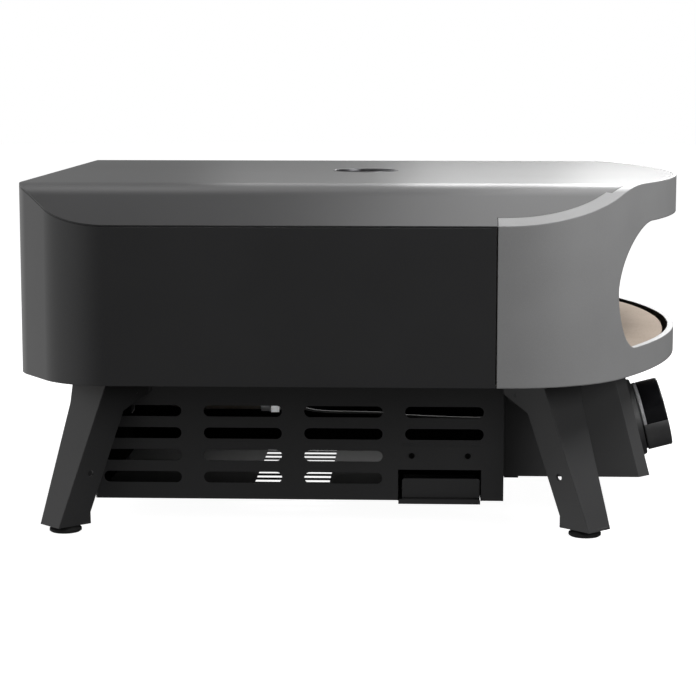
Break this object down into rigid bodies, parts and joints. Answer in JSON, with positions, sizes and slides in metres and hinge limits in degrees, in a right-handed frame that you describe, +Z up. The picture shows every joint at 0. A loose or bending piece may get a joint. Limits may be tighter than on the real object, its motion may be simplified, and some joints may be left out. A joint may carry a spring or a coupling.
{
  "type": "portable_pizza_oven",
  "caption": "Portable gas pizza oven: dark powder-coated body with bowed front and wide mouth, baking stone, roof thermometer, vented base with front control knob, folding sheet-metal legs.",
  "frame": {"origin": "middle of the bounding box's underside, on the plane the rubber feet stand on", "axes": "+X front (mouth and knob), +Y right side, +Z up"},
  "size_m": [0.604, 0.6252, 0.3056],
  "materials": {
    "body_coat": "fine textured powder coat, dark grey",
    "front_coat": "satin metallic grey coat",
    "base_coat": "fine textured powder coat, near black",
    "stainless": "brushed",
    "zinc": "zinc plated",
    "brass": "turned",
    "cordierite": "matt baking stone",
    "ceramic_fibre": "pressed fibre",
    "black_plastic": "satin black",
    "gloss_black": "gloss black",
    "chrome": "bright",
    "rubber": "matt",
    "gauge_glass": "clear",
    "dial_face": "matt dark grey",
    "pointer_red": "red",
    "ceramic": "bisque",
    "lead_sleeve": "light grey glass-fibre sleeve",
    "cell_wrap": "printed wrap, bare"
  },
  "bodies": {
    "oven": {"air_shutter": "zinc", "base_floor": "base_coat", "base_frame": "base_coat", "battery_holder": "zinc", "battery_screw_front": "zinc", "battery_screw_rear": "zinc", "burner_tube": "stainless", "control_box": "base_coat", "flame_baffle": "stainless", "floor_pan": "stainless", "front_panel": "front_coat", "gas_inlet": "brass", "gas_jet": "brass", "gas_pipe": "zinc", "gas_valve": "brass", "gauge_case": "chrome", "gauge_dial": "dial_face", "gauge_glass": "gauge_glass", "gauge_probe": "stainless", "igniter_electrode": "ceramic", "igniter_module": "black_plastic", "ignition_lead": "lead_sleeve", "jet_bracket": "zinc", "knob_bezel": "black_plastic", "leg_bolt_front_left": "zinc", "leg_bolt_front_right": "zinc", "leg_bolt_rear_left": "zinc", "leg_bolt_rear_right": "zinc", "liner_crown": "stainless", "liner_wall": "stainless", "outer_wall": "body_coat", "pizza_stone": "cordierite", "roof_cover": "body_coat", "roof_insulation": "ceramic_fibre", "stone_rail_left": "stainless", "stone_rail_right": "stainless", "supply_pipe": "zinc", "thermocouple": "stainless", "wall_insulation": "ceramic_fibre"},
    "knob_press": {"valve_stem": "stainless"},
    "knob_turn": {"knob_body": "gloss_black", "knob_ring": "chrome"},
    "gauge_needle": {"gauge_pointer": "pointer_red", "gauge_spindle": "stainless"},
    "battery_tray": {"battery_drawer": "base_coat", "battery_cell_outer": "cell_wrap", "battery_cell_inner": "cell_wrap"},
    "rear_left_leg": {"leg_rear_left": "base_coat", "foot_rear_left": "rubber"},
    "front_left_leg": {"leg_front_left": "base_coat", "foot_front_left": "rubber"},
    "rear_right_leg": {"leg_rear_right": "base_coat", "foot_rear_right": "rubber"},
    "front_right_leg": {"leg_front_right": "base_coat", "foot_front_right": "rubber"}
  },
  "joints": [
    {"name": "knob_push", "type": "slide", "parent": "oven", "child": "knob_press", "axis": [-0.9676, 0, -0.2525], "range_m": [0, 0.003], "stiffness_N_per_m": 1500},
    {"name": "knob_rotate", "type": "hinge", "parent": "knob_press", "child": "knob_turn", "pos_m": [0.25587, 0, 0.059], "axis": [0.9676, 0, 0.2525], "range_deg": [0, 220]},
    {"name": "gauge_turn", "type": "hinge", "parent": "oven", "child": "gauge_needle", "pos_m": [-0.0027, 0, 0.305], "axis": [0, 0, -1], "range_deg": [0, 270]},
    {"name": "battery_drawer_slide", "type": "slide", "parent": "oven", "child": "battery_tray", "axis": [0, -1, 0], "range_m": [0, 0.055]},
    {"name": "rear_left_leg_fold", "type": "hinge", "parent": "oven", "child": "rear_left_leg", "pos_m": [-0.2016, -0.2218, 0.1195], "axis": [0, -1, 0], "range_deg": [0, 112]},
    {"name": "front_left_leg_fold", "type": "hinge", "parent": "oven", "child": "front_left_leg", "pos_m": [0.1394, -0.2218, 0.1195], "axis": [0, 1, 0], "range_deg": [0, 112]},
    {"name": "rear_right_leg_fold", "type": "hinge", "parent": "oven", "child": "rear_right_leg", "pos_m": [-0.2016, 0.2218, 0.1195], "axis": [0, -1, 0], "range_deg": [0, 112]},
    {"name": "front_right_leg_fold", "type": "hinge", "parent": "oven", "child": "front_right_leg", "pos_m": [0.1394, 0.2218, 0.1195], "axis": [0, 1, 0], "range_deg": [0, 112]}
  ]
}
